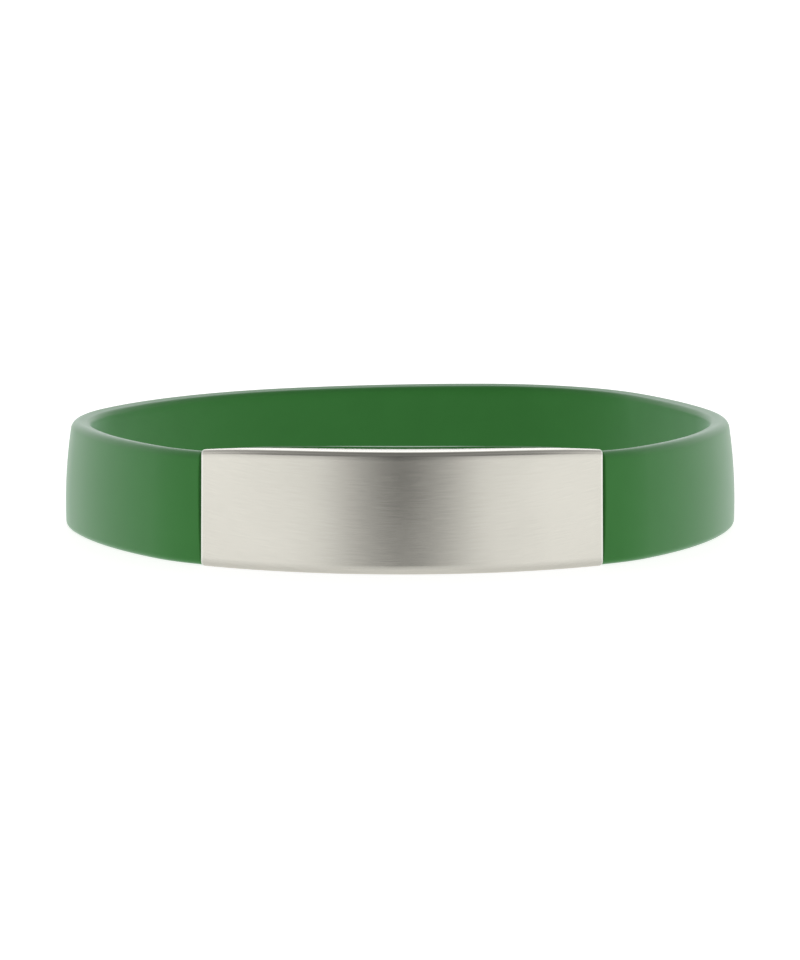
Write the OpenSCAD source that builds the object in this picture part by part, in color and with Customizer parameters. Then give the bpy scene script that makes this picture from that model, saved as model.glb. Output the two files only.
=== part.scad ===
// Silicone bracelet with a curved steel plate, lying on its side.
// X points right, Y to the back and Z up. The part rests on Z = 0, the plate is at the front, and the
// origin is under the middle of the whole part. All sizes are in millimetres, all angles in degrees.
// Seen from above, the band's outline is a closed chain of arcs that run smoothly into each other. A place
// on it is given by its heading: the direction in which the outline runs there, 0 at the middle of the
// plate, 90 at the right side, 180 at the back and 270 at the left side.
// Every cross-section is a list of [depth, height], with depth measured inwards from the outline.

/* [Band] */
// Outer width of the loop from side to side
loop_w = 69; // [58:0.5:78]
// Height of the band as it lies on its side
band_h = 10.8; // [8:0.1:14]
// Thickness of the silicone wall
wall = 2; // [1.8:0.1:3]
// How far the outer face leans in between its widest line and the upper rim
outer_lean = 0.75; // [0:0.05:1]
// How far the inner face leans in between the foot and the upper rim
inner_lean = 0.7; // [0.45:0.05:1.2]
// Radius of the upper rim's outer edge
rim_r = 0.9; // [0.4:0.1:1.1]
// Radius of the foot's outer edge
foot_r = 0.6; // [0.3:0.1:0.8]
// Radius of both inner edges
inner_r = 0.35; // [0.1:0.05:0.4]

/* [Plate] */
// Angle that the plate turns through to each side of its middle, at the foot
plate_reach = 29.9; // [20:0.1:30]
// Thickness of the steel sheet
sheet = 0.4; // [0.3:0.05:0.45]
// How far the plate's lower edge stands out from the band
proud = 0.45; // [0.2:0.05:0.5]
// How far the plate's face leans in between the foot and the band's upper rim
plate_lean = 1.05; // [0.5:0.05:1.2]
// Outer radius of the two long bends
bend_r = 0.5; // [0.5:0.05:0.6]
// Depth of the folded flanges at the plate's ends
flange_end = 1; // [0.8:0.1:1.5]
// Depth of the folded flanges at the plate's middle
flange_mid = 2.8; // [1.8:0.1:3.4]
// Height of the plate's upper front edge over the band's rim, at the ends
plate_rise_end = 0.2; // [0:0.02:0.3]
// Height of the plate's upper front edge over the band's rim, at the middle
plate_rise_mid = 0.66; // [0.2:0.02:0.7]

/* [Seat] */
// Clearance between the silicone and the plate
gap = 0.12; // [0.08:0.01:0.15]
// Extra thickness of the silicone behind the middle of the plate
pad_extra = 2.8; // [1.8:0.05:3]
// Height of the silicone lip behind the plate over the band's rim, at the middle
lip_rise = 0.8; // [0.2:0.05:1.1]

/* [Hidden] */

BAND_COLOR = [0.19, 0.44, 0.22];
PLATE_COLOR = [0.8, 0.79, 0.76];

// The chain of arcs, from the left end of the front arc and round by the right side. Each row holds the
// angle that the stretch turns through and its bend radius as a number to be scaled. A bend of 0 is
// worked out: two stretches take the radii that close the loop.
TURN = 0;
BEND = 1;
STRETCHES = [
    [66, 39],   // front, where the plate sits
    [15, 17],   // tight bend beside the plate
    [27, 43.5], // right, towards the side
    [30, 29],   // right side
    [15, 0],    // nearly straight, behind the right side
    [60, 22],   // right rear corner, the fullest
    [24, 0],    // back, flatter
    [21, 36],   // left rear corner
    [21, 41.5], // flatter, left rear
    [42, 24],   // left side
    [24, 46],   // left, towards the front
    [15, 18],   // tight bend beside the plate
];
LAST = len(STRETCHES) - 1;
FREE = [for (k = [0:LAST]) if (STRETCHES[k][BEND] == 0) k];
FRONT_END = STRETCHES[0][TURN] / 2;
HEADING_STEP = 3;

// Height of the outer face's widest line, as a share of the band's height
WIDEST_SHARE = 0.18;
WIDEST_Z = WIDEST_SHARE * band_h;
// Radius of the front edges of the silicone inside the plate
CORE_R = 0.15;
// Steps in each rounded edge, and on the outer face between them
EDGE_STEPS = 3;
INNER_EDGE_STEPS = 2;
FACE_STEPS = 5;
// Places of the two points on the flat of the rim and of the foot, as shares of the way across
FLAT_SHARES = [1 / 3, 2 / 3];
// Stations from the middle of the plate to each of its ends
PLATE_STATIONS = 12;
SEAT_STATIONS = 10;
// Steps from each end of the seat to the end of the front arc
BESIDE_STEPS = 2;
// Angle over which the wall at each end of the seat runs
SEAT_WALL = 0.2;

function total(list, k = 0) = k == len(list) ? 0 : list[k] + total(list, k + 1);
function heading_at(k) = total([for (j = [0:1:k - 1]) STRETCHES[j][TURN]]) - FRONT_END;
HEADINGS = [for (k = [0:LAST + 1]) heading_at(k)];

// The step that a stretch of bend radius 1 makes between two headings
function arc_step(from, to) = [sin(to) - sin(from), cos(from) - cos(to)];
STEPS = [for (k = [0:LAST]) arc_step(HEADINGS[k], HEADINGS[k + 1])];

// The sum of all known steps has to be undone by the two free stretches, which gives two equations
KNOWN = [for (axis = [0, 1]) total([for (k = [0:LAST]) STRETCHES[k][BEND] * STEPS[k][axis]])];
STEP_A = STEPS[FREE[0]];
STEP_B = STEPS[FREE[1]];
DETERMINANT = STEP_A.x * STEP_B.y - STEP_A.y * STEP_B.x;
BEND_A = (-KNOWN.x * STEP_B.y + KNOWN.y * STEP_B.x) / DETERMINANT;
BEND_B = (-KNOWN.y * STEP_A.x + KNOWN.x * STEP_A.y) / DETERMINANT;
BENDS = [for (k = [0:LAST]) k == FREE[0] ? BEND_A : k == FREE[1] ? BEND_B : STRETCHES[k][BEND]];

function stretch_start(k) = [for (axis = [0, 1]) total([for (j = [0:1:k - 1]) BENDS[j] * STEPS[j][axis]])];
STARTS = [for (k = [0:LAST]) stretch_start(k)];
function stretch_of(heading) = max([for (k = [0:LAST]) if (HEADINGS[k] <= heading) k]);
function raw_outline(heading) =
    let (k = stretch_of(heading)) STARTS[k] + BENDS[k] * arc_step(HEADINGS[k], heading);

// The chain is scaled to the loop's width, and moved so that the whole part is centred over the origin
SCALE = loop_w / (raw_outline(90).x - raw_outline(270).x);
function outline(heading) = SCALE * raw_outline(heading);
FRONT_BEND = SCALE * BENDS[0];
FRONT_DEPTH = min([for (p = plate_section(0)) p[0]]);
MIDDLE = [
    (outline(90).x + outline(270).x) / 2,
    (outline(0).y + FRONT_DEPTH + outline(180).y) / 2,
];
function place(heading, p) =
    let (q = outline(heading) - MIDDLE) [q.x - p[0] * sin(heading), q.y + p[0] * cos(heading), p[1]];

// Points of a rounded edge about [depth, height], from angle a to angle b
function edge(d, z, r, a, b, steps) =
    [for (i = [0:steps]) let (t = a + (b - a) * i / steps) [d + r * cos(t), z + r * sin(t)]];
function mix(a, b, t) = a + (b - a) * t;
function reversed(list) = [for (i = [len(list) - 1:-1:0]) list[i]];

// 1 at the plate's middle and 0 at its ends. The second is flatter in the middle, and the third runs out
// smoothly into the wall beside the plate.
function swell(s) = 1 - pow(s, 2);
function broad_swell(s) = 1 - pow(s, 4);
function soft_swell(s) = pow(swell(s), 1.5);

// Depth of the band's outer and inner faces at a height
function outer_depth(z) = outer_lean * pow((z - WIDEST_Z) / (band_h - WIDEST_Z), 2);
function inner_depth(z) = wall + inner_lean * z / band_h;
// Angle by which the outer face leans where the rim's rounded edge begins
RIM_START_Z = band_h - rim_r;
RIM_LEAN = atan(2 * outer_lean * (RIM_START_Z - WIDEST_Z) / pow(band_h - WIDEST_Z, 2));

// Cross-section of the plain band, from the foot's outer edge up, over the rim and down inside. The rim
// and the foot each hold two points between their rounded edges, which turn into the steps of the seat.
function plain_section() =
    let (
        foot_start = outer_depth(foot_r) + foot_r,
        foot_end = inner_depth(0) - inner_r,
        rim_start = outer_depth(RIM_START_Z) + rim_r,
        rim_end = inner_depth(band_h) - inner_r
    )
    concat(
        edge(foot_start, foot_r, foot_r, 270, 180, EDGE_STEPS),
        [
            for (i = [0:FACE_STEPS - 2])
                let (z = mix(WIDEST_Z, RIM_START_Z, i / (FACE_STEPS - 1)))
                [outer_depth(z), z]
        ],
        edge(rim_start, RIM_START_Z, rim_r, 180 - RIM_LEAN, 90, EDGE_STEPS),
        [for (t = FLAT_SHARES) [mix(rim_start, rim_end, t), band_h]],
        edge(rim_end, band_h - inner_r, inner_r, 90, 0, INNER_EDGE_STEPS),
        edge(foot_end, inner_r, inner_r, 0, -90, INNER_EDGE_STEPS),
        [for (t = FLAT_SHARES) [mix(foot_end, foot_start, t), 0]]
    );

// The plate's face leans in evenly, and its upper edge is crowned
function face_depth(z) = -proud + plate_lean * z / band_h;
function front_top(s) = band_h + mix(plate_rise_end, plate_rise_mid, broad_swell(s));
function flange(s) = mix(flange_end, flange_mid, swell(s));

// Half angles at a height: the end of the plate, the end of the seat with its clearance, and the outside of
// the seat's end wall. The plate is cut square from its sheet, so where it lies further in it turns through
// a larger angle.
function plate_end(z) = plate_reach * (FRONT_BEND - face_depth(0)) / (FRONT_BEND - face_depth(z));
function seat_end(z) = plate_end(z) + gap / FRONT_BEND * 180 / PI;
function seat_outside(z) = seat_end(z) + SEAT_WALL;

// Cross-section of the band in the seat: a core that fills the plate, and behind the flanges' free
// edges a lip of full height. It has as many points as the plain section, in the same order.
function seat_section(s) =
    let (
        low = sheet + gap,
        high = front_top(s) - sheet - gap,
        core_foot = face_depth(low) + sheet + gap,
        core_rim = face_depth(high) + sheet + gap,
        foot_step = face_depth(0) + flange(s) + gap,
        rim_step = face_depth(band_h) + flange(s) + gap,
        lip_top = band_h + lip_rise * broad_swell(s),
        inner_rim = inner_depth(band_h) + pad_extra * soft_swell(s),
        inner_foot = inner_depth(0) + pad_extra * soft_swell(s)
    )
    concat(
        edge(core_foot + CORE_R, low + CORE_R, CORE_R, 270, 180, EDGE_STEPS),
        [
            for (i = [1:FACE_STEPS - 1])
                let (t = i / FACE_STEPS)
                [mix(core_foot, core_rim, t), mix(low, high, t)]
        ],
        edge(core_rim + CORE_R, high - CORE_R, CORE_R, 180, 90, EDGE_STEPS),
        [[rim_step, high], [rim_step, lip_top]],
        edge(inner_rim - inner_r, lip_top - inner_r, inner_r, 90, 0, INNER_EDGE_STEPS),
        edge(inner_foot - inner_r, inner_r, inner_r, 0, -90, INNER_EDGE_STEPS),
        [[foot_step, 0], [foot_step, low]]
    );

// The outside of the plate's sheet in cross-section, or with inset = sheet its inside
function sheet_line(s, inset) =
    let (r = bend_r - inset, foot = face_depth(bend_r) + bend_r, rim = face_depth(front_top(s)) + bend_r)
    concat(
        [[face_depth(0) + flange(s), inset]],
        edge(foot, bend_r, r, 270, 180, EDGE_STEPS),
        edge(rim, front_top(s) - bend_r, r, 180, 90, EDGE_STEPS),
        [[face_depth(band_h) + flange(s), front_top(s) - inset]]
    );
function plate_section(s) = concat(sheet_line(s, 0), reversed(sheet_line(s, sheet)));

// Triangles of the skin between rings of the same number of points, one ring after the other
function skin(rings, points, closed) = [
    for (i = [0:closed ? rings - 1 : rings - 2], j = [0:points - 1])
        let (
            a = i * points,
            b = (i + 1) % rings * points,
            n = (j + 1) % points
        )
        each [[a + j, b + n, b + j], [a + j, a + n, b + n]]
];

// Triangles that close an end of the plate, whose section is a strip: its outside line, then its inside
// line backwards. The first end and the last end face opposite ways.
function strip_end(start, points, facing_first) = [
    for (j = [0:points / 2 - 2])
        let (
            a = start + j,
            b = start + j + 1,
            c = start + points - 2 - j,
            d = start + points - 1 - j
        )
        each facing_first ? [[a, c, b], [a, d, c]] : [[a, b, c], [a, c, d]]
];

// The band's rings run once round the loop: through the seat from its left end, beside its right end, round
// the plain band, and beside its left end
module band() {
    seat = [for (i = [-SEAT_STATIONS:SEAT_STATIONS]) i / SEAT_STATIONS];
    beside = [for (i = [0:BESIDE_STEPS - 1]) i / BESIDE_STEPS];
    round = [for (heading = [FRONT_END:HEADING_STEP:360 - FRONT_END]) heading];
    plain = plain_section();
    color(BAND_COLOR)
        polyhedron(
            points = concat(
                [for (s = seat, p = seat_section(s)) place(s * seat_end(p[1]), p)],
                [for (t = beside, p = plain) place(mix(seat_outside(p[1]), FRONT_END, t), p)],
                [for (heading = round, p = plain) place(heading, p)],
                [for (t = reversed(beside), p = plain) place(-mix(seat_outside(p[1]), FRONT_END, t), p)]
            ),
            faces = skin(len(seat) + len(round) + 2 * len(beside), len(plain), true)
        );
}

module plate() {
    shares = [for (i = [-PLATE_STATIONS:PLATE_STATIONS]) i / PLATE_STATIONS];
    points = len(plate_section(0));
    rings = len(shares);
    color(PLATE_COLOR)
        polyhedron(
            points = [for (s = shares, p = plate_section(s)) place(s * plate_end(p[1]), p)],
            faces = concat(
                skin(rings, points, false),
                strip_end(0, points, true),
                strip_end((rings - 1) * points, points, false)
            )
        );
}

band();
plate();
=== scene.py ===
"""Looks of a silicone bracelet: a moulded green band with a bowed steel plate folded over its front.

The bracelet lies on its side. X points right, Y to the back and Z up, and the plate is at the front. The
classes hold their sizes in millimetres and angles in degrees, and meshes are made in metres.

Seen from above, the band's outline is a closed chain of arcs that run smoothly into each other. A place on
it is given by its heading: 0 at the middle of the plate, 90 at the right side, 180 at the back and 270 at
the left side. A cross-section is given as depth inwards from the outline, and height.
"""

import logging
import math
from dataclasses import dataclass, field
from enum import Enum

import bpy
import numpy as np
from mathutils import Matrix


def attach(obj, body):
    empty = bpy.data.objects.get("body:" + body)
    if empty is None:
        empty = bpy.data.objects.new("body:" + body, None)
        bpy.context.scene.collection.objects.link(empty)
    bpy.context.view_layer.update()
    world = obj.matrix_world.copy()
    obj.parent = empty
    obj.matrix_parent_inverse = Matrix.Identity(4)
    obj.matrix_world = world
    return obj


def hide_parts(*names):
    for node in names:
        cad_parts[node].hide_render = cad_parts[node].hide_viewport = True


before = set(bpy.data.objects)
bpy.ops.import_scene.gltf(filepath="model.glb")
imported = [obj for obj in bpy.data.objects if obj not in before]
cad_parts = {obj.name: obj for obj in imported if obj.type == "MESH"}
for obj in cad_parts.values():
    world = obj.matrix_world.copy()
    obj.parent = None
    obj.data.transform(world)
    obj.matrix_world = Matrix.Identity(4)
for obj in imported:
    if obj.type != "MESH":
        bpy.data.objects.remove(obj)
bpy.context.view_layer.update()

log = logging.getLogger("bracelet")

MM = 0.001
FULL_TURN = 360.0
BODY = "root"
EDGE_DISTANCE = "edge_distance"
UV_MAP = "UVMap"

# The span of values that the noise of the fine grain seldom leaves.
NOISE_SPAN = (0.3, 0.7)

Colour = tuple[float, float, float]
Numbers = float | np.ndarray


class Node(Enum):
    """The pieces of the bracelet, with the names of their solids."""

    BAND = "band"
    PLATE = "plate"


class Slot(Enum):
    """The material slots of the record."""

    SILICONE = "silicone"
    STEEL = "steel"


def blend(start: Numbers, end: Numbers, share: Numbers) -> Numbers:
    """Value that goes straight from start to end as share goes from 0 to 1."""
    return start + (end - start) * share


def crown(share: np.ndarray, power: int) -> np.ndarray:
    """1 minus a power of share: 1 in the middle, where share is 0, and 0 at both ends."""
    return 1 - share**power


def smooth(value: np.ndarray, low: float, high: float) -> np.ndarray:
    """Share that rises smoothly, as 3 t squared minus 2 t cubed, from 0 at low to 1 at high."""
    t = np.clip((value - low) / (high - low), 0.0, 1.0)
    return t * t * (3.0 - 2.0 * t)


def rounded_inset(distance: np.ndarray, radius: float) -> np.ndarray:
    """How far a surface draws back at a distance from a rounded edge: radius minus the circle's height.

    Args:
        distance: Distance from the edge.
        radius: Radius of the rounding.

    Returns:
        0 beyond the radius, and the whole radius at the edge itself.
    """
    away = np.clip(radius - distance, 0.0, radius)
    return radius - np.sqrt(radius * radius - away * away)


def make_mesh(
    name: str, points: np.ndarray, faces: np.ndarray, uv: np.ndarray | None = None
) -> bpy.types.Object:
    """Makes a smoothly shaded object from arrays.

    Args:
        name: Name of the object and its mesh.
        points: Vertices in millimetres, one row each.
        faces: Corners of the quads, one row each.
        uv: Texture position of each face corner, in the order of the faces.

    Returns:
        The new object, which sits at the origin.
    """
    mesh = bpy.data.meshes.new(name)
    mesh.vertices.add(len(points))
    mesh.vertices.foreach_set("co", (points * MM).astype(np.float32).ravel())
    mesh.loops.add(faces.size)
    mesh.loops.foreach_set("vertex_index", faces.astype(np.int32).ravel())
    mesh.polygons.add(len(faces))
    mesh.polygons.foreach_set("loop_start", np.arange(0, faces.size, 4, dtype=np.int32))
    mesh.polygons.foreach_set("use_smooth", np.ones(len(faces), dtype=bool))
    if uv is not None:
        layer = mesh.uv_layers.new(name=UV_MAP)
        layer.data.foreach_set("uv", uv.astype(np.float32).ravel())
    mesh.update(calc_edges=True)
    mesh.validate()
    made = bpy.data.objects.new(name, mesh)
    bpy.context.scene.collection.objects.link(made)
    return made


def ring_faces(rings: int, columns: int, closed: bool) -> tuple[np.ndarray, np.ndarray]:
    """Quads between rings of vertices, which are numbered ring by ring.

    Args:
        rings: Number of rings.
        columns: Number of vertices in a ring, the last of which joins the first.
        closed: Whether the last ring joins the first.

    Returns:
        The vertex numbers of each quad's corners, and the same corners as pairs of ring and column, counted
        on past the last ones where the quad joins the first ones.
    """
    i, j = np.meshgrid(np.arange(rings if closed else rings - 1), np.arange(columns), indexing="ij")
    ring = np.stack([i, i + 1, i + 1, i], axis=-1).reshape(-1, 4)
    column = np.stack([j, j, j + 1, j + 1], axis=-1).reshape(-1, 4)
    numbers = (ring % rings) * columns + column % columns
    return numbers, np.stack([ring, column], axis=-1)


@dataclass(frozen=True)
class Stretch:
    """One arc of the outline: the angle it turns through, and its bend radius before scaling."""

    turn: float
    bend: float


@dataclass
class Outline:
    """The band's outline as a closed chain of arcs.

    Two stretches with a bend of 0 take the radii that close the loop. The chain is then scaled to the
    loop's width and moved, so that the whole bracelet is centred over the origin. Its front is the plate's
    foremost line, which lies at the front depth.
    """

    width: float = 69.0
    front_depth: float = -0.401
    stretches: tuple[Stretch, ...] = (
        Stretch(66, 39),
        Stretch(15, 17),
        Stretch(27, 43.5),
        Stretch(30, 29),
        Stretch(15, 0),
        Stretch(60, 22),
        Stretch(24, 0),
        Stretch(21, 36),
        Stretch(21, 41.5),
        Stretch(42, 24),
        Stretch(24, 46),
        Stretch(15, 18),
    )
    starts_at: np.ndarray = field(init=False)
    bends: np.ndarray = field(init=False)
    corners: np.ndarray = field(init=False)
    middle: np.ndarray = field(init=False)

    def __post_init__(self) -> None:
        """Solves the two free radii from the two sums that close the loop, then scales and centres it."""
        turns = np.array([s.turn for s in self.stretches], float)
        bends = np.array([s.bend for s in self.stretches], float)
        limits = np.concatenate([[0.0], np.cumsum(turns)]) - turns[0] / 2
        steps = self.arc_step(limits[:-1], limits[1:])
        free = bends == 0
        bends[free] = np.linalg.solve(steps[free].T, -(bends[:, None] * steps).sum(axis=0))
        self.starts_at = limits[:-1]
        self.bends = bends
        self.corners = np.vstack([np.zeros(2), np.cumsum(bends[:, None] * steps, axis=0)[:-1]])
        self.middle = np.zeros(2)
        scale = self.width / (self.at(90.0)[0] - self.at(270.0)[0])
        self.bends = self.bends * scale
        self.corners = self.corners * scale
        across = (self.at(90.0)[0] + self.at(270.0)[0]) / 2
        along = (self.at(0.0)[1] + self.front_depth + self.at(180.0)[1]) / 2
        self.middle = np.array([across, along])

    @staticmethod
    def arc_step(start: Numbers, end: Numbers) -> np.ndarray:
        """The step that an arc of radius 1 makes between two headings: sines along X, cosines along Y."""
        a, b = np.radians(start), np.radians(end)
        return np.stack([np.sin(b) - np.sin(a), np.cos(a) - np.cos(b)], axis=-1)

    def front_bend(self) -> float:
        """Radius of the front arc, over which the plate and its seat lie."""
        return float(self.bends[0])

    def at(self, heading: Numbers) -> np.ndarray:
        """Points of the outline, as the start of the stretch plus the arc's step up to each heading.

        Args:
            heading: Headings, below 0 in the left half of the front arc.

        Returns:
            The points' X and Y, last in the array.
        """
        k = np.searchsorted(self.starts_at, heading, side="right") - 1
        step = self.arc_step(self.starts_at[k], heading)
        return self.corners[k] + self.bends[k][..., None] * step - self.middle

    def place(self, heading: np.ndarray, depth: np.ndarray, height: np.ndarray) -> np.ndarray:
        """Carries cross-sections along the outline.

        Each point is the outline's point plus depth times the inward normal, lifted to the height.

        Args:
            heading: Heading of each point.
            depth: Depth of each point.
            height: Height of each point.

        Returns:
            Points in millimetres, in an array of the same shape with X, Y and Z last.
        """
        base = self.at(heading)
        turn = np.radians(heading)
        x = base[..., 0] - depth * np.sin(turn)
        y = base[..., 1] + depth * np.cos(turn)
        return np.stack([x, y, height], axis=-1)


@dataclass(frozen=True)
class Fold:
    """Sizes that the band's seat and the plate share."""

    band_height: float = 10.8
    lean: float = 1.05
    reach: float = 29.9
    sheet: float = 0.4
    proud: float = 0.45
    bend_radius: float = 0.5
    flange_end: float = 1.0
    flange_middle: float = 2.8
    rise_end: float = 0.2
    rise_middle: float = 0.66
    clearance: float = 0.12

    def face_depth(self, height: Numbers) -> Numbers:
        """Depth of the plate's face, which leans in evenly with height."""
        return -self.proud + self.lean * height / self.band_height

    def front_top(self, share: np.ndarray) -> np.ndarray:
        """Height of the plate's upper front edge, crowned as 1 minus the fourth power of share."""
        return self.band_height + blend(self.rise_end, self.rise_middle, crown(share, 4))

    def flange(self, share: np.ndarray) -> np.ndarray:
        """Depth of the flanges, which swells as 1 minus the square of share."""
        return blend(self.flange_end, self.flange_middle, crown(share, 2))

    def end_at(self, height: np.ndarray, front_bend: float) -> np.ndarray:
        """Half angle of the plate at a height.

        The plate is cut square from its sheet, so the angle is the reach times the radius at the foot over
        the radius at the height.

        Args:
            height: Heights.
            front_bend: Radius of the front arc.

        Returns:
            The half angles in degrees.
        """
        return self.reach * (front_bend - self.face_depth(0.0)) / (front_bend - self.face_depth(height))


@dataclass(frozen=True)
class BandPoints:
    """Numbers of points in the parts of the band's cross-section, in their order, and of its rings.

    In the seat, the step up to the lip takes its points from the top's, and the riser up to the core and the
    core's underside take theirs from the sole's. Step is the number on the step and on the rest of the sole.
    """

    foot: int = 7
    face: int = 16
    rim: int = 9
    top: int = 9
    brow: int = 6
    inside: int = 14
    heel: int = 5
    sole: int = 8
    step: int = 2
    riser: int = 3
    seat_rings: int = 141
    plain_rings: int = 560


@dataclass
class SiliconeBand:
    """The moulded band: one closed loop with a seat for the plate at the front.

    The foot and the rim are its outer edges, and the heel and the brow its inner ones. In the seat a core
    fills the plate, and a lip stands behind the upper flange. Seat wall is the angle over which the plain
    section changes into the seat's at each end of the seat, and the mouth is the edge there. Plain turn is
    about how far the band turns outside the seat, and sizes the mouth's steps.
    """

    outline: Outline
    fold: Fold
    wall: float = 2.0
    outer_lean: float = 0.75
    inner_lean: float = 0.7
    widest: float = 1.944
    rim_radius: float = 0.9
    foot_radius: float = 0.6
    inner_radius: float = 0.35
    brow_radius: float = 0.6
    top_fall: float = 0.13
    core_radius: float = 0.15
    pad: float = 2.8
    pad_power: float = 1.5
    lip_rise: float = 0.8
    lip_radius: float = 0.3
    lip_radius_share: float = 0.45
    seat_wall: float = 0.2
    seat_crowding: float = 0.6
    mouth_radius: float = 0.12
    mouth_steps: tuple[float, ...] = (0, 0.15, 0.4, 0.7, 1.0, 1.3, 2.5)
    mouth_lean: float = 0.08
    mouth_depths: tuple[float, float] = (0.95, 1.15)
    plain_turn: float = 300.0
    points: BandPoints = BandPoints()

    def outer_depth(self, height: Numbers) -> Numbers:
        """Depth of the outer face, a parabola of height that touches the outline at its widest line."""
        return self.outer_lean * ((height - self.widest) / (self.fold.band_height - self.widest)) ** 2

    def inner_depth(self, height: Numbers) -> Numbers:
        """Depth of the inner face, which leans in evenly with height."""
        return self.wall + self.inner_lean * height / self.fold.band_height

    @staticmethod
    def corner(
        depth: Numbers, height: Numbers, radius: Numbers, start: float, end: float, n: int
    ) -> np.ndarray:
        """Points of a rounded edge: its centre plus radius times cosine and sine, from start to end.

        Args:
            depth: Depth of the centre. Like the height and the radius, one number or one for each row.
            height: Height of the centre.
            radius: Radius of the edge.
            start: Angle where it starts, in degrees.
            end: Angle where it ends, in degrees.
            n: Number of points, the last of which is left to the next part.

        Returns:
            Rows by n by 2.
        """
        t = np.radians(np.linspace(start, end, n, endpoint=False))
        rows = np.broadcast_arrays(*np.atleast_1d(depth, height, radius))
        across, up, reach = (row[:, None] for row in rows)
        return np.stack([across + reach * np.cos(t), up + reach * np.sin(t)], axis=-1)

    @staticmethod
    def pair(depth: Numbers, height: Numbers) -> np.ndarray:
        """Joins depths and heights into points, one for each of them."""
        return np.stack(np.broadcast_arrays(*np.atleast_1d(depth, height)), axis=-1)

    @staticmethod
    def straight(start: np.ndarray, end: np.ndarray, n: int) -> np.ndarray:
        """n points on the straight line from start up to, but not including, end, for each row."""
        t = np.linspace(0.0, 1.0, n, endpoint=False)[None, :, None]
        return start[:, None] * (1 - t) + end[:, None] * t

    def plain_section(self, rows: int) -> np.ndarray:
        """The band's own cross-section, from the foot's outer edge up, over the rim and down inside.

        The top falls a little towards the inside.

        Args:
            rows: Number of equal rows wanted.

        Returns:
            Rows by points by 2, as depth and height.
        """
        n = self.points
        top = self.fold.band_height
        inner_top = top - self.top_fall
        rim_start = top - self.rim_radius
        lean = math.atan(2 * self.outer_lean * (rim_start - self.widest) / (top - self.widest) ** 2)
        face_end = rim_start + self.rim_radius * math.sin(lean)
        height = np.linspace(self.foot_radius, face_end, n.face, endpoint=False)
        foot = self.outer_depth(self.foot_radius) + self.foot_radius
        rim = self.outer_depth(face_end) + self.rim_radius * math.cos(lean)
        brow = self.inner_depth(top) - self.brow_radius
        heel = self.inner_depth(0.0) - self.inner_radius
        inside_top = self.pair(self.inner_depth(top), inner_top - self.brow_radius)
        inside_foot = self.pair(self.inner_depth(0.0), self.inner_radius)
        parts = [
            self.corner(foot, self.foot_radius, self.foot_radius, 270, 180, n.foot),
            self.pair(self.outer_depth(height), height)[None],
            self.corner(rim, rim_start, self.rim_radius, 180 - math.degrees(lean), 90, n.rim),
            self.straight(self.pair(rim, top), self.pair(brow, inner_top), n.top),
            self.corner(brow, inner_top - self.brow_radius, self.brow_radius, 90, 0, n.brow),
            self.straight(inside_top, inside_foot, n.inside),
            self.corner(heel, self.inner_radius, self.inner_radius, 0, -90, n.heel),
            self.straight(self.pair(heel, 0.0), self.pair(foot, 0.0), n.sole),
        ]
        return np.repeat(np.concatenate(parts, axis=1), rows, axis=0)

    def seat_section(self, share: np.ndarray) -> np.ndarray:
        """Cross-sections of the seat: a core that fills the plate, and a lip behind the flanges' edges.

        They hold as many points as the plain section, in the same order, so that the two join ring to ring.
        The pad behind the plate swells as 1 minus share squared, to the pad's power, and the lip rises as 1
        minus the fourth power of share. Towards the middle its brow becomes as small as the heel.

        Args:
            share: Place along the seat, from -1 at its left end to 1 at its right end.

        Returns:
            Rows by points by 2, as depth and height.
        """
        n = self.points
        f = self.fold
        swell = self.pad * crown(share, 2) ** self.pad_power
        low = np.full_like(share, f.sheet + f.clearance)
        high = f.front_top(share) - f.sheet - f.clearance
        core_foot = f.face_depth(low) + f.sheet + f.clearance
        core_rim = f.face_depth(high) + f.sheet + f.clearance
        foot_step = f.face_depth(0.0) + f.flange(share) + f.clearance
        rim_step = f.face_depth(f.band_height) + f.flange(share) + f.clearance
        lip_top = f.band_height + self.lip_rise * crown(share, 4)
        lip_back = lip_top - self.top_fall
        inner_rim = self.inner_depth(f.band_height) + swell
        inner_foot = self.inner_depth(0.0) + swell
        brow = blend(self.brow_radius, self.inner_radius, crown(share, 4))
        lip = np.minimum(self.lip_radius, self.lip_radius_share * (inner_rim - brow - rim_step))
        core, heel = self.core_radius, self.inner_radius
        underside = n.sole - n.step - n.riser
        parts = [
            self.corner(core_foot + core, low + core, core, 270, 180, n.foot),
            self.straight(self.pair(core_foot, low + core), self.pair(core_rim, high - core), n.face),
            self.corner(core_rim + core, high - core, core, 180, 90, n.rim),
            self.straight(self.pair(rim_step, high), self.pair(rim_step, lip_top - lip), n.step),
            self.corner(rim_step + lip, lip_top - lip, lip, 180, 90, n.top - n.step),
            self.corner(inner_rim - brow, lip_back - brow, brow, 90, 0, n.brow),
            self.straight(self.pair(inner_rim, lip_back - brow), self.pair(inner_foot, heel), n.inside),
            self.corner(inner_foot - heel, heel, heel, 0, -90, n.heel),
            self.straight(self.pair(inner_foot - heel, 0.0), self.pair(foot_step, 0.0), n.step),
            self.straight(self.pair(foot_step, 0.0), self.pair(foot_step, low), n.riser),
            self.straight(self.pair(foot_step, low), self.pair(core_foot + core, low), underside),
        ]
        return np.concatenate(parts, axis=1)

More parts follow.
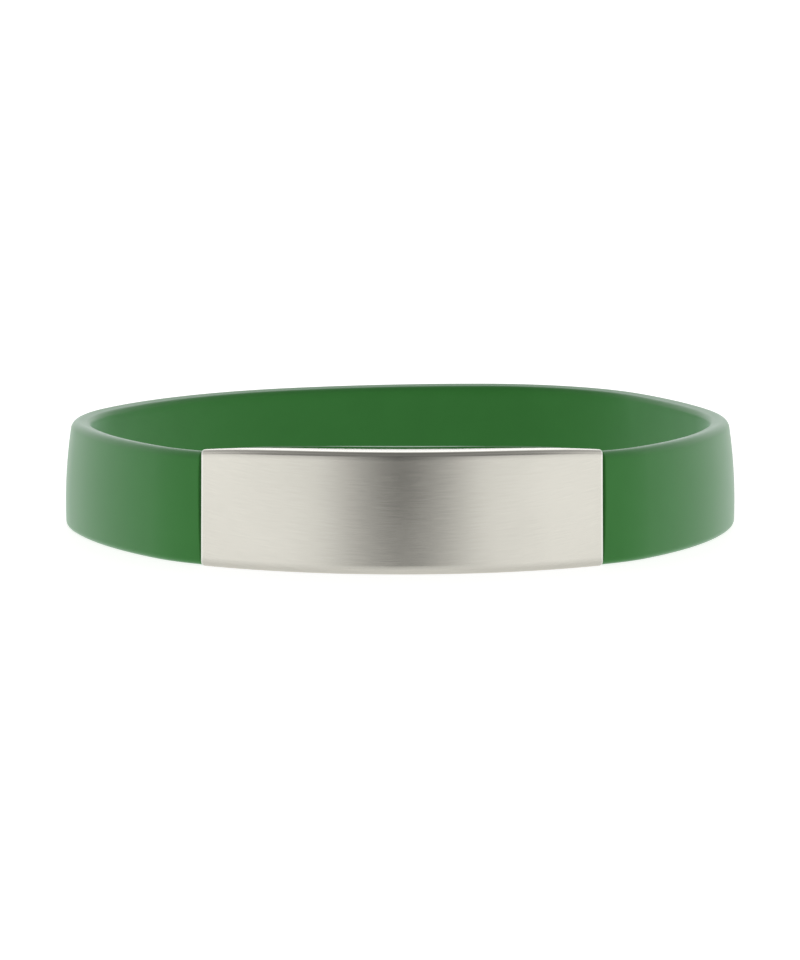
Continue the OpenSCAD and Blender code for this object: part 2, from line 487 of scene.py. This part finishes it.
    def stations(self) -> tuple[np.ndarray, np.ndarray]:
        """Places of the rings, through the seat from its left end and then round the plain band.

        The rings crowd together beside the seat's walls, where the rounded mouth needs them: in the seat
        along a sine, and in the plain band by the mouth's steps, which are in radii of the mouth.

        Returns:
            The seat's rings as shares from -1 to 1, and the plain band's rings as shares of the way from
            the seat's right wall round to its left one.
        """
        even = np.linspace(-1, 1, self.points.seat_rings)
        share = np.clip(blend(even, np.sin(even * math.pi / 2), self.seat_crowding), -1, 1)
        steps = self.mouth_radius * np.array(self.mouth_steps) / self.outline.front_bend()
        near = np.degrees(steps) / self.plain_turn
        far = np.linspace(near[-1], 1 - near[-1], self.points.plain_rings)[1:-1]
        return share, np.concatenate([near, far, 1 - near[::-1]])

    def seat_end(self, height: np.ndarray) -> np.ndarray:
        """Half angle of the seat at a height: the plate's own and its clearance."""
        bend = self.outline.front_bend()
        return self.fold.end_at(height, bend) + math.degrees(self.fold.clearance / bend)

    def rounded_mouth(self, section: np.ndarray, distance: np.ndarray) -> np.ndarray:
        """Draws the plain section's outside in, where the band ends at a wall of the seat.

        Each point moves against its outward normal by the circle's drop at its distance from the wall. The
        inside of the band stays, and so does what the flanges don't reach: between the mouth's two depths,
        which lean in with height, the rounding runs out.

        Args:
            section: Plain cross-sections, rows by points by 2.
            distance: Distance of each point from the wall.

        Returns:
            The sections, drawn in.
        """
        along = np.roll(section, -1, axis=1) - np.roll(section, 1, axis=1)
        normal = np.stack([-along[..., 1], along[..., 0]], axis=-1)
        normal /= np.linalg.norm(normal, axis=-1, keepdims=True)
        depth = section[..., :1] - self.mouth_lean * section[..., 1:]
        outside = 1 - smooth(depth, *self.mouth_depths)
        return section - normal * outside * rounded_inset(distance, self.mouth_radius)[..., None]

    def build(self) -> bpy.types.Object:
        """Carries the two kinds of section round the outline and joins them into one closed skin.

        Headings in the left half of the front arc are below 0, as the outline takes them.

        Returns:
            The band's object.
        """
        share, way = self.stations()
        seat = self.seat_section(share)
        plain = self.plain_section(len(way))
        wall = self.seat_end(plain[..., 1]) + self.seat_wall
        heading = blend(wall, FULL_TURN - wall, way[:, None])
        from_wall = np.minimum(heading - wall, FULL_TURN - wall - heading)
        plain = self.rounded_mouth(plain, np.radians(from_wall) * self.outline.front_bend())
        front_start = FULL_TURN + self.outline.starts_at[0]
        heading = np.where(heading > front_start, heading - FULL_TURN, heading)
        heading = np.concatenate([share[:, None] * self.seat_end(seat[..., 1]), heading])
        section = np.concatenate([seat, plain])
        points = self.outline.place(heading, section[..., 0], section[..., 1])
        faces, _ = ring_faces(len(points), points.shape[1], True)
        return make_mesh("silicone_band", points.reshape(-1, 3), faces)

    def dress(self, piece: bpy.types.Object, finish: "SiliconeFinish") -> None:
        """Gives the band its silicone and puts it in the solid's place.

        Args:
            piece: The band's object.
            finish: Its silicone.
        """
        piece.data.materials.append(finish.material())
        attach(piece, BODY)
        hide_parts(Node.BAND.value)


@dataclass(frozen=True)
class PlatePoints:
    """Numbers of points in a flange, a bend and the face of the plate's section, and of its even rings.

    Rounding is the number of points over the rounding of an edge.
    """

    flange: int = 14
    bend: int = 9
    face: int = 26
    rounding: int = 6
    even_rings: int = 130


@dataclass
class SteelPlate:
    """The bowed plate: a folded sheet with a face and two flanges, and edges that are broken all round.

    Past the rounding of an end, the next rings lie at the end steps. On a flange, the points past the
    rounding lie at the flange steps, as shares of its length, and the flange's length is a usual one.
    """

    outline: Outline
    fold: Fold
    edge_radius: float = 0.12
    corner_radius: float = 0.45
    corner_power: int = 8
    end_steps: tuple[float, float, float] = (0.16, 0.22, 0.3)
    flange_steps: tuple[float, float] = (0.12, 0.3)
    flange_length: float = 1.3
    points: PlatePoints = PlatePoints()

    def over_rounding(self) -> np.ndarray:
        """Distances from an edge inwards, at even angles of its rounding, up to where it ends."""
        return self.edge_radius * (1 - np.cos(np.linspace(0, math.pi / 2, self.points.rounding)))

    def bend(
        self, depth: np.ndarray, height: np.ndarray, start: float, end: float
    ) -> tuple[np.ndarray, np.ndarray]:
        """The sheet's middle round a bend: the centre plus the radius times the outward normal.

        Args:
            depth: Depth of the centre for each row.
            height: Height of the centre for each row.
            start: Angle where it starts, in radians.
            end: Angle where it ends, in radians.

        Returns:
            The points and their outward normals, each rows by points by 2.
        """
        radius = self.fold.bend_radius - self.fold.sheet / 2
        turn = start + (end - start) * np.linspace(0, 1, self.points.bend)
        out = np.stack([np.cos(turn), np.sin(turn)], axis=-1)
        points = np.stack([depth, height], axis=-1)[:, None] + radius * out
        return points, np.broadcast_to(out, points.shape)

    @staticmethod
    def flat(
        start: np.ndarray, end: np.ndarray, out: np.ndarray, shares: np.ndarray
    ) -> tuple[np.ndarray, np.ndarray]:
        """The sheet's middle along a straight stretch.

        Args:
            start: Where it starts, for each row.
            end: Where it ends, for each row.
            out: Its outward normal, for each row.
            shares: Places of the points as shares of its length.

        Returns:
            The points and their outward normals, each rows by points by 2.
        """
        points = start[:, None] * (1 - shares)[:, None] + end[:, None] * shares[:, None]
        return points, np.repeat(out[:, None], len(shares), axis=1)

    def middle_line(self, share: np.ndarray) -> tuple[np.ndarray, np.ndarray, np.ndarray]:
        """The line through the middle of the sheet, from the lower flange's edge to the upper one's.

        The flanges and the face are straight lines, and the bends are circles that touch both of them.

        Args:
            share: Place along the plate, from -1 at its left end to 1 at its right end.

        Returns:
            The points and their outward normals, each rows by points by 2, and each point's distance
            along the line from its start.
        """
        f = self.fold
        n = self.points
        half = f.sheet / 2
        down, up = 1.5 * math.pi, 0.5 * math.pi
        lean = math.atan(f.lean / f.band_height)
        forward = math.pi - lean
        foot_height = np.full_like(share, f.bend_radius)
        foot_depth = f.face_depth(foot_height) + f.bend_radius / math.cos(lean)
        rim_height = f.front_top(share) - f.bend_radius
        rim_depth = f.face_depth(rim_height) + f.bend_radius / math.cos(lean)
        foot, foot_out = self.bend(foot_depth, foot_height, down, forward)
        rim, rim_out = self.bend(rim_depth, rim_height, forward, up)
        lower_end = np.stack([f.face_depth(0.0) + f.flange(share), np.full_like(share, half)], axis=-1)
        upper_depth = f.face_depth(f.band_height) + f.flange(share)
        upper_end = np.stack([upper_depth, f.front_top(share) - half], axis=-1)
        first, then = self.flange_steps
        near = np.concatenate([self.over_rounding() / self.flange_length, [first]])
        inwards = np.concatenate([near, np.linspace(then, 1, n.flange - len(near) + 1)[:-1]])
        stretches = (
            self.flat(lower_end, foot[:, 0], foot_out[:, 0], inwards),
            (foot, foot_out),
            self.flat(foot[:, -1], rim[:, 0], foot_out[:, -1], np.linspace(0, 1, n.face + 2)[1:-1]),
            (rim, rim_out),
            self.flat(rim[:, -1], upper_end, rim_out[:, -1], 1 - inwards[::-1]),
        )
        points, out = (np.concatenate(part, axis=1) for part in zip(*stretches))
        steps = np.linalg.norm(np.diff(points, axis=1), axis=-1)
        way = np.concatenate([np.zeros((len(points), 1)), np.cumsum(steps, axis=1)], axis=1)
        return points, out, way

    def half_thickness(self, from_edge: np.ndarray, from_end: np.ndarray) -> np.ndarray:
        """Half the sheet's thickness, which drops along a circle near its edges and a ball at its corners.

        Args:
            from_edge: Distance from the nearer edge of a flange.
            from_end: Distance from the nearer end of the plate.

        Returns:
            The half thickness, which at an edge is less by the edge's radius.
        """
        radius = self.edge_radius
        fall_edge = np.clip(1 - from_edge / radius, 0, 1)
        fall_end = np.clip(1 - from_end / radius, 0, 1)
        height = np.sqrt(np.clip(1 - fall_edge**2 - fall_end**2, 0, 1))
        return self.fold.sheet / 2 - radius + radius * height

    @staticmethod
    def skin_faces(rings: int, columns: int) -> tuple[np.ndarray, np.ndarray]:
        """Quads of the two skins with the walls between them, and of the walls that close the two ends.

        Args:
            rings: Number of rings along the plate.
            columns: Number of points in a ring: the outer skin's, and then the inner one's on the way back.

        Returns:
            The vertex numbers of each quad's corners, and the same corners as pairs of ring and column.
        """
        faces, corners = ring_faces(rings, columns, False)
        last = rings - 1
        step = np.arange(columns // 2 - 1)
        wall = np.stack([step, columns - 1 - step, columns - 2 - step, step + 1], axis=-1)
        left = np.stack([np.zeros_like(wall), wall], axis=-1)[:, ::-1]
        right = np.stack([np.full_like(wall, last), wall], axis=-1)
        faces = np.concatenate([faces, wall[:, ::-1], wall + last * columns])
        return faces, np.concatenate([corners, left, right])

    def build(self) -> bpy.types.Object:
        """Makes the plate as two skins, half the sheet's thickness to each side of its middle surface.

        The ends draw in along the corners of the flanges, which are rounded as a circle of the corner's
        radius. That wears off away from the ends as a high power of the smoothed share.

        Returns:
            The plate's object, with its UV map in millimetres along the plate and across the sheet, and
            each point's distance from the nearest edge, in millimetres, as an attribute.
        """
        front_bend = self.outline.front_bend()
        reach = math.radians(self.fold.reach) * (front_bend - self.fold.face_depth(0.0))
        *steps, even_start = self.end_steps
        near = np.concatenate([self.over_rounding(), steps])
        even = np.linspace(-reach + even_start, reach - even_start, self.points.even_rings)
        length = np.concatenate([-reach + near, even, (reach - near)[::-1]])
        share = length / reach
        points, out, across = self.middle_line(share)
        whole = across[:, -1:]
        from_edge = np.minimum(across, whole - across)
        from_end = (reach - np.abs(length))[:, None] * np.ones_like(across)
        at_end = smooth(np.abs(share), 0.0, 1.0)[:, None] ** self.corner_power
        drawn_in = np.sign(share)[:, None] * rounded_inset(from_edge, self.corner_radius) * at_end
        along = (length[:, None] - drawn_in) / reach
        lift = self.half_thickness(from_edge, from_end)[..., None] * out
        section = np.concatenate([points + lift, (points - lift)[:, ::-1]], axis=1)
        both = np.concatenate([along, along[:, ::-1]], axis=1)
        heading = both * self.fold.end_at(section[..., 1], front_bend)
        placed = self.outline.place(heading, section[..., 0], section[..., 1])
        faces, corners = self.skin_faces(*section.shape[:2])
        # Distance round the unrolled section: over the outer skin, round an edge and over the inner skin.
        back = 2 * whole + self.fold.sheet - across[:, ::-1]
        sheet = np.concatenate([across, back, 2 * (whole + self.fold.sheet)], axis=1)
        ring, column = corners[..., 0], corners[..., 1]
        uv = np.stack([length[ring], sheet[ring, column]], axis=-1)
        piece = make_mesh("steel_plate", placed.reshape(-1, 3), faces, uv)
        nearest = np.minimum(from_edge, from_end)
        nearest = np.concatenate([nearest, nearest[:, ::-1]], axis=1)
        distance = piece.data.attributes.new(EDGE_DISTANCE, "FLOAT", "POINT")
        distance.data.foreach_set("value", nearest.astype(np.float32).ravel())
        return piece

    def dress(self, piece: bpy.types.Object, finish: "SteelFinish") -> None:
        """Gives the plate its steel and puts it in the solid's place.

        Args:
            piece: The plate's object.
            finish: Its steel.
        """
        piece.data.materials.append(finish.material())
        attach(piece, BODY)
        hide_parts(Node.PLATE.value)


def opaque(colour: Colour) -> tuple[float, float, float, float]:
    """A colour with the full opacity that a colour socket takes."""
    return (*colour, 1.0)


class Tree:
    """A small helper that adds nodes to a node tree and joins them."""

    def __init__(self, tree: bpy.types.NodeTree) -> None:
        """Keeps the tree and empties it."""
        self.tree = tree
        self.tree.nodes.clear()

    def add(self, kind: str, inputs: dict | None = None, **settings: object) -> bpy.types.Node:
        """Adds a node.

        Args:
            kind: The node's type name.
            inputs: Values of its input sockets, by name or number. A socket as the value is joined to it.
            settings: Properties of the node.

        Returns:
            The new node.
        """
        node = self.tree.nodes.new(kind)
        for name, value in settings.items():
            setattr(node, name, value)
        for name, value in (inputs or {}).items():
            if isinstance(value, bpy.types.NodeSocket):
                self.tree.links.new(value, node.inputs[name])
            else:
                node.inputs[name].default_value = value
        return node

    def coordinates(self, output: str) -> bpy.types.NodeSocket:
        """Adds a Texture Coordinate node and returns one of its outputs."""
        return self.add("ShaderNodeTexCoord").outputs[output]

    def compute(self, operation: str, *values: object) -> bpy.types.NodeSocket:
        """Adds a Math node for the values and returns its result."""
        return self.add("ShaderNodeMath", dict(enumerate(values)), operation=operation).outputs[0]

    def ramp(
        self, value: object, low: float, high: float, start: float = 0.0, end: float = 1.0
    ) -> bpy.types.NodeSocket:
        """Adds a smooth Map Range node from low..high to start..end and returns its result."""
        inputs = {"Value": value, "From Min": low, "From Max": high, "To Min": start, "To Max": end}
        return self.add("ShaderNodeMapRange", inputs, interpolation_type="SMOOTHSTEP").outputs[0]

    def mix(self, share: object, first: object, second: object) -> bpy.types.NodeSocket:
        """Adds a Mix node for two numbers and returns its result."""
        return self.add("ShaderNodeMix", {0: share, 2: first, 3: second}).outputs[0]

    def tint(self, share: object, first: object, second: object) -> bpy.types.NodeSocket:
        """Adds a Mix node for two colours and returns its result."""
        return self.add("ShaderNodeMix", {0: share, 6: first, 7: second}, data_type="RGBA").outputs[2]

    def noise(self, vector: object, scale: object, detail: float, roughness: float) -> bpy.types.NodeSocket:
        """Adds a Noise node and returns its value."""
        inputs = {"Vector": vector, "Scale": scale, "Detail": detail, "Roughness": roughness}
        return self.add("ShaderNodeTexNoise", inputs).outputs[0]

    def bump(self, height: object, strength: float, distance: float) -> bpy.types.NodeSocket:
        """Adds a Bump node and returns its normal."""
        inputs = {"Height": height, "Strength": strength, "Distance": distance}
        return self.add("ShaderNodeBump", inputs).outputs[0]

    def surface(self, inputs: dict) -> None:
        """Adds the Principled shader with these inputs and joins it to the material's output."""
        shader = self.add("ShaderNodeBsdfPrincipled", inputs)
        self.add("ShaderNodeOutputMaterial", {"Surface": shader.outputs[0]})


def fine_grain_group() -> bpy.types.NodeTree:
    """Builds, once, the group that gives a surface its fine uneven texture.

    A coarse noise clouds the surface and a fine one roughens it. Variation goes from the fine noise to the
    coarse one as Clouding goes from 0 to 1, and Height is the fine noise alone.

    Returns:
        The node group, with inputs Vector, Cloud Scale, Grain Scale and Clouding, and outputs Variation
        and Height.
    """
    name = "Fine grain"
    if name in bpy.data.node_groups:
        return bpy.data.node_groups[name]
    group = bpy.data.node_groups.new(name, "ShaderNodeTree")
    group.interface.new_socket("Vector", in_out="INPUT", socket_type="NodeSocketVector")
    for socket, value in (("Cloud Scale", 300.0), ("Grain Scale", 9000.0), ("Clouding", 0.5)):
        made = group.interface.new_socket(socket, in_out="INPUT", socket_type="NodeSocketFloat")
        made.default_value = value
    for socket in ("Variation", "Height"):
        group.interface.new_socket(socket, in_out="OUTPUT", socket_type="NodeSocketFloat")
    tree = Tree(group)
    given = tree.add("NodeGroupInput").outputs
    cloud = tree.noise(given["Vector"], given["Cloud Scale"], detail=3.0, roughness=0.55)
    grain = tree.noise(given["Vector"], given["Grain Scale"], detail=2.0, roughness=0.6)
    mixed = tree.mix(given["Clouding"], grain, cloud)
    tree.add("NodeGroupOutput", {"Variation": mixed, "Height": grain})
    return group


@dataclass(frozen=True)
class Grain:
    """One use of the fine grain group: the scales of its two noises and the clouds' share."""

    cloud_scale: float
    grain_scale: float
    clouding: float

    def read(self, tree: Tree, where: bpy.types.NodeSocket) -> bpy.types.NodeOutputs:
        """Places the group in a material.

        Args:
            tree: The material's tree.
            where: The place at which the texture is read.

        Returns:
            The group's outputs, Variation and Height.
        """
        inputs = {
            "Vector": where,
            "Cloud Scale": self.cloud_scale,
            "Grain Scale": self.grain_scale,
            "Clouding": self.clouding,
        }
        return tree.add("ShaderNodeGroup", inputs, node_tree=fine_grain_group()).outputs


def new_material(name: str) -> tuple[bpy.types.Material, Tree]:
    """Makes an empty material.

    Args:
        name: Name of the material.

    Returns:
        The material and the helper for its node tree.
    """
    made = bpy.data.materials.new(name)
    made.use_nodes = True
    return made, Tree(made.node_tree)


@dataclass(frozen=True)
class SiliconeFinish:
    """Moulded silicone: satin, evenly coloured all through, with a fine eroded mould texture."""

    deep: Colour = (0.034, 0.185, 0.031)
    light: Colour = (0.037, 0.196, 0.034)
    bloom: Colour = (0.86, 1.0, 0.97)
    bloom_weight: float = 0.46
    bloom_roughness: float = 0.5
    roughness: tuple[float, float] = (0.28, 0.32)
    refraction: float = 1.43
    gloss_level: float = 0.1
    grain: Grain = Grain(cloud_scale=260.0, grain_scale=7000.0, clouding=0.7)
    grain_strength: float = 0.22
    grain_height: float = 0.000004

    def material(self) -> bpy.types.Material:
        """Builds the material.

        The clouds shift the green a little between its deep and light tone and the gloss with it, and the
        grain is raised as a bump. Sheen gives the pale bloom that silicone shows where it turns away.

        Returns:
            The material.
        """
        made, tree = new_material("green_silicone")
        grain = self.grain.read(tree, tree.coordinates("Object"))
        varied = tree.ramp(grain["Variation"], *NOISE_SPAN)
        inputs = {
            "Base Color": tree.tint(varied, opaque(self.deep), opaque(self.light)),
            "Roughness": tree.ramp(grain["Variation"], *NOISE_SPAN, *self.roughness),
            "Normal": tree.bump(grain["Height"], self.grain_strength, self.grain_height),
            "IOR": self.refraction,
            "Specular IOR Level": self.gloss_level,
            "Sheen Weight": self.bloom_weight,
            "Sheen Roughness": self.bloom_roughness,
            "Sheen Tint": opaque(self.bloom),
        }
        tree.surface(inputs)
        return made


@dataclass(frozen=True)
class SteelFinish:
    """Stainless steel with a fine satin grain along the plate, polished at its edges, where a brighter
    colour paints on a highlight.
    """

    colour: Colour = (0.575, 0.56, 0.505)
    worn: Colour = (0.535, 0.52, 0.47)
    # Brighter colour towards the edges: a painted highlight of the edges catching light.
    polish_and_painted_highlight: Colour = (0.68, 0.69, 0.645)
    roughness: tuple[float, float] = (0.17, 0.22)
    polished_edge_roughness: float = 0.14
    polish_and_highlight_reach: tuple[float, float] = (0.08, 0.32)
    stretch: tuple[float, float, float] = (0.35, 22.0, 1.0)
    lines: Grain = Grain(cloud_scale=0.12, grain_scale=1.0, clouding=0.0)
    clouds: Grain = Grain(cloud_scale=160.0, grain_scale=2500.0, clouding=0.85)
    clouds_share: float = 0.45
    grain_strength: float = 0.4
    grain_height: float = 0.0000012

    def material(self) -> bpy.types.Material:
        """Builds the material.

        The lines are read from the UV map, which is in millimetres, and stretched along the plate, so that
        they bend round the folds with the sheet. Clouds of the same group vary its gloss as handling does.
        Towards the edges the gloss changes smoothly to the polished one, and the colour to a brighter one
        that is a painted highlight.

        Returns:
            The material.
        """
        made, tree = new_material("satin_steel")
        uv = tree.add("ShaderNodeUVMap", uv_map=UV_MAP).outputs[0]
        drawn = tree.add("ShaderNodeMapping", {"Vector": uv, "Scale": self.stretch}).outputs[0]
        lines = self.lines.read(tree, drawn)
        clouds = self.clouds.read(tree, tree.coordinates("Object"))
        uneven = tree.mix(self.clouds_share, lines["Variation"], clouds["Variation"])
        near = tree.add("ShaderNodeAttribute", attribute_name=EDGE_DISTANCE).outputs["Fac"]
        # Share towards the edges: real polish in the gloss, painted highlight in the colour.
        polish_and_painted_highlight = tree.ramp(near, *self.polish_and_highlight_reach, 1.0, 0.0)
        satin = tree.ramp(uneven, *NOISE_SPAN, *self.roughness)
        shade = tree.ramp(lines["Variation"], *NOISE_SPAN)
        colour = tree.tint(shade, opaque(self.worn), opaque(self.colour))
        inputs = {
            # Painted highlight: the base colour brightens towards the edges.
            "Base Color": tree.tint(polish_and_painted_highlight, colour, opaque(self.polish_and_painted_highlight)),
            "Metallic": 1.0,
            "Roughness": tree.mix(polish_and_painted_highlight, satin, self.polished_edge_roughness),
            "Normal": tree.bump(lines["Height"], self.grain_strength, self.grain_height),
        }
        tree.surface(inputs)
        return made


@dataclass(frozen=True)
class FloorFinish:
    """Matt pale paint, which glows a little so that the floor is as white as the photograph's ground."""

    dark: Colour = (0.36, 0.36, 0.358)
    light: Colour = (0.39, 0.39, 0.388)
    roughness: float = 0.75
    glow: Colour = (1.0, 1.0, 0.99)
    glow_strength: float = 0.82
    grain: Grain = Grain(cloud_scale=3.0, grain_scale=400.0, clouding=0.8)

    def material(self) -> bpy.types.Material:
        """Builds the material, whose clouds shift the paint a little between its dark and light tone.

        Returns:
            The material.
        """
        made, tree = new_material("pale_floor")
        varied = self.grain.read(tree, tree.coordinates("Object"))["Variation"]
        inputs = {
            "Base Color": tree.tint(varied, opaque(self.dark), opaque(self.light)),
            "Roughness": self.roughness,
            "Emission Color": opaque(self.glow),
            "Emission Strength": self.glow_strength,
        }
        tree.surface(inputs)
        return made


@dataclass(frozen=True)
class Glow:
    """Brightness of the light tent at one height above the horizon, all in degrees.

    Each stop is an angle from the front, the same to the left and the right, and the brightness there.
    """

    height: float
    stops: tuple[tuple[float, float], ...]

    def around(self, tree: Tree, angle: bpy.types.NodeSocket, brightest: float) -> bpy.types.NodeSocket:
        """Joins the stops by straight lines in a colour ramp.

        Args:
            tree: The world's tree.
            angle: Angle from the front, as a share of half a turn.
            brightest: Brightness that is white in the ramp.

        Returns:
            The brightness at this height, as a share of the brightest.
        """
        ramp = tree.add("ShaderNodeValToRGB", {0: angle})
        elements = ramp.color_ramp.elements
        while len(elements) < len(self.stops):
            elements.new(1.0)
        for element, (place, glow) in zip(elements, self.stops):
            grey = glow / brightest
            element.position = 2 * place / FULL_TURN
            element.color = opaque((grey, grey, grey))
        return ramp.outputs[0]


@dataclass
class Studio:
    """A pale floor that sweeps up at the back, a soft light tent dim at the front, and the camera.

    The floor's radii, its sweep's height and the clip distances are in metres.
    """

    hub_radius: float = 0.02
    flat_radius: float = 1.2
    sweep_radius: float = 1.3
    floor_radius: float = 3.0
    sweep_height: float = 0.25
    sweep_power: int = 3
    sweep_side: tuple[float, float] = (-0.3, 0.5)
    flat_rings: int = 12
    sweep_rings: int = 24
    floor_columns: int = 96
    glows: tuple[Glow, ...] = (
        Glow(0.0, ((0, 0.05), (12, 0.54), (25, 1.5), (45, 1.76), (70, 1.55), (100, 0.5), (180, 1.0))),
        Glow(15.0, ((0, 0.12), (12, 0.32), (45, 0.25), (70, 1.0), (100, 1.05), (135, 2.0), (180, 1.75))),
        Glow(35.0, ((0, 0.26), (45, 0.36), (70, 0.92), (100, 1.08), (135, 0.9), (180, 1.4))),
        Glow(60.0, ((0, 0.26), (45, 0.48), (90, 0.5), (180, 0.5))),
        Glow(90.0, ((0, 0.15), (180, 0.15))),
    )
    aim: tuple[float, float, float] = (-0.066, -9.0, 5.581)
    distance: float = 328.0
    pitch: float = 8.05
    focal_pixels: float = 3258.4
    frame_height: float = 960.0
    sensor: float = 36.0
    clip_start: float = 0.01
    clip_end: float = 20.0

    def floor(self, finish: FloorFinish) -> None:
        """Makes the floor: a flat disc that sweeps up at the back.

        Its height is the sweep's times a power of the way out past the flat part. The sweep sets in
        smoothly between the sides and the back.

        Args:
            finish: The floor's paint.
        """
        flat = np.linspace(self.hub_radius, self.flat_radius, self.flat_rings)
        sweep = np.linspace(self.sweep_radius, self.floor_radius, self.sweep_rings)
        radius = np.concatenate([flat, sweep])
        turn = np.linspace(0, 2 * math.pi, self.floor_columns, endpoint=False)
        out = np.clip((radius - self.flat_radius) / (self.floor_radius - self.flat_radius), 0, 1)
        rise = self.sweep_height * out**self.sweep_power
        ring = np.stack([np.cos(turn), np.sin(turn)], axis=-1)
        height = rise[:, None, None] * smooth(ring[:, 1], *self.sweep_side)[:, None]
        points = np.concatenate([radius[:, None, None] * ring, height], axis=-1).reshape(-1, 3)
        points = np.concatenate([points, np.zeros((1, 3))]) / MM
        faces, _ = ring_faces(len(radius), len(turn), False)
        hub = np.arange(0, len(turn), 2)
        centre = np.full_like(hub, len(points) - 1)
        fan = np.stack([centre, hub, hub + 1, (hub + 2) % len(turn)], axis=-1)
        piece = make_mesh("floor", points, np.concatenate([faces, fan]))
        piece.data.materials.append(finish.material())

    def tent(self) -> None:
        """Makes the soft light: a tent that is brightest low at the sides and at the back.

        Its brightness depends on direction alone. From each height of the table to the next it changes in a
        straight line with the angle above the horizon, and below the horizon it stays as at the first.
        """
        world = bpy.data.worlds.new("light_tent")
        world.use_nodes = True
        bpy.context.scene.world = world
        tree = Tree(world.node_tree)
        way = tree.add("ShaderNodeSeparateXYZ", {0: tree.coordinates("Generated")}).outputs
        forward = tree.compute("MULTIPLY", way["Y"], -1.0)
        turn = tree.compute("ARCTAN2", tree.compute("ABSOLUTE", way["X"]), forward)
        angle = tree.compute("DIVIDE", turn, math.pi)
        height = tree.compute("MULTIPLY", tree.compute("ARCSINE", way["Z"]), math.degrees(1.0))
        brightest = max(glow for row in self.glows for _, glow in row.stops)
        rows = [row.around(tree, angle, brightest) for row in self.glows]
        mixed = rows[0]
        for low, high, ring in zip(self.glows[:-1], self.glows[1:], rows[1:]):
            inputs = {"Value": height, "From Min": low.height, "From Max": high.height}
            share = tree.add("ShaderNodeMapRange", inputs).outputs[0]
            mixed = tree.tint(share, mixed, ring)
        bright = tree.compute("MULTIPLY", mixed, brightest)
        shine = tree.add("ShaderNodeBackground", {"Color": (1.0, 1.0, 1.0, 1.0), "Strength": bright})
        tree.add("ShaderNodeOutputWorld", {"Surface": shine.outputs[0]})

    def camera(self) -> None:
        """Puts the camera at the photograph's angle and makes it the scene's camera."""
        data = bpy.data.cameras.new("camera")
        data.sensor_width = self.sensor
        data.lens = self.focal_pixels / self.frame_height * self.sensor
        data.clip_start = self.clip_start
        data.clip_end = self.clip_end
        made = bpy.data.objects.new("camera", data)
        pitch = math.radians(self.pitch)
        away = np.array([0.0, -math.cos(pitch), math.sin(pitch)]) * self.distance
        made.location = (np.array(self.aim) + away) * MM
        made.rotation_euler = (math.pi / 2 - pitch, 0.0, 0.0)
        bpy.context.scene.collection.objects.link(made)
        bpy.context.scene.camera = made

    def build(self) -> None:
        """Sets up floor, light, camera and plain colours."""
        self.floor(FloorFinish())
        self.tent()
        self.camera()
        bpy.context.scene.view_settings.view_transform = "Standard"


def corners(box: tuple) -> list[list[float]]:
    """The two corners of a box as plain lists of numbers."""
    return [[round(float(v), 6) for v in corner] for corner in box]


def main() -> None:
    """Builds the band, the plate and the studio in order."""
    logging.basicConfig(level=logging.INFO, format="%(name)s: %(message)s")
    fold = Fold()
    outline = Outline()
    for made, finish in (
        (SiliconeBand(outline, fold), SiliconeFinish()),
        (SteelPlate(outline, fold), SteelFinish()),
    ):
        piece = made.build()
        made.dress(piece, finish)
        mesh = piece.data
        log.info("%s: %d vertices, %d faces", piece.name, len(mesh.vertices), len(mesh.polygons))
    Studio().build()
    log.info("studio: floor, tent and camera")


if __name__ == "__main__":
    main()
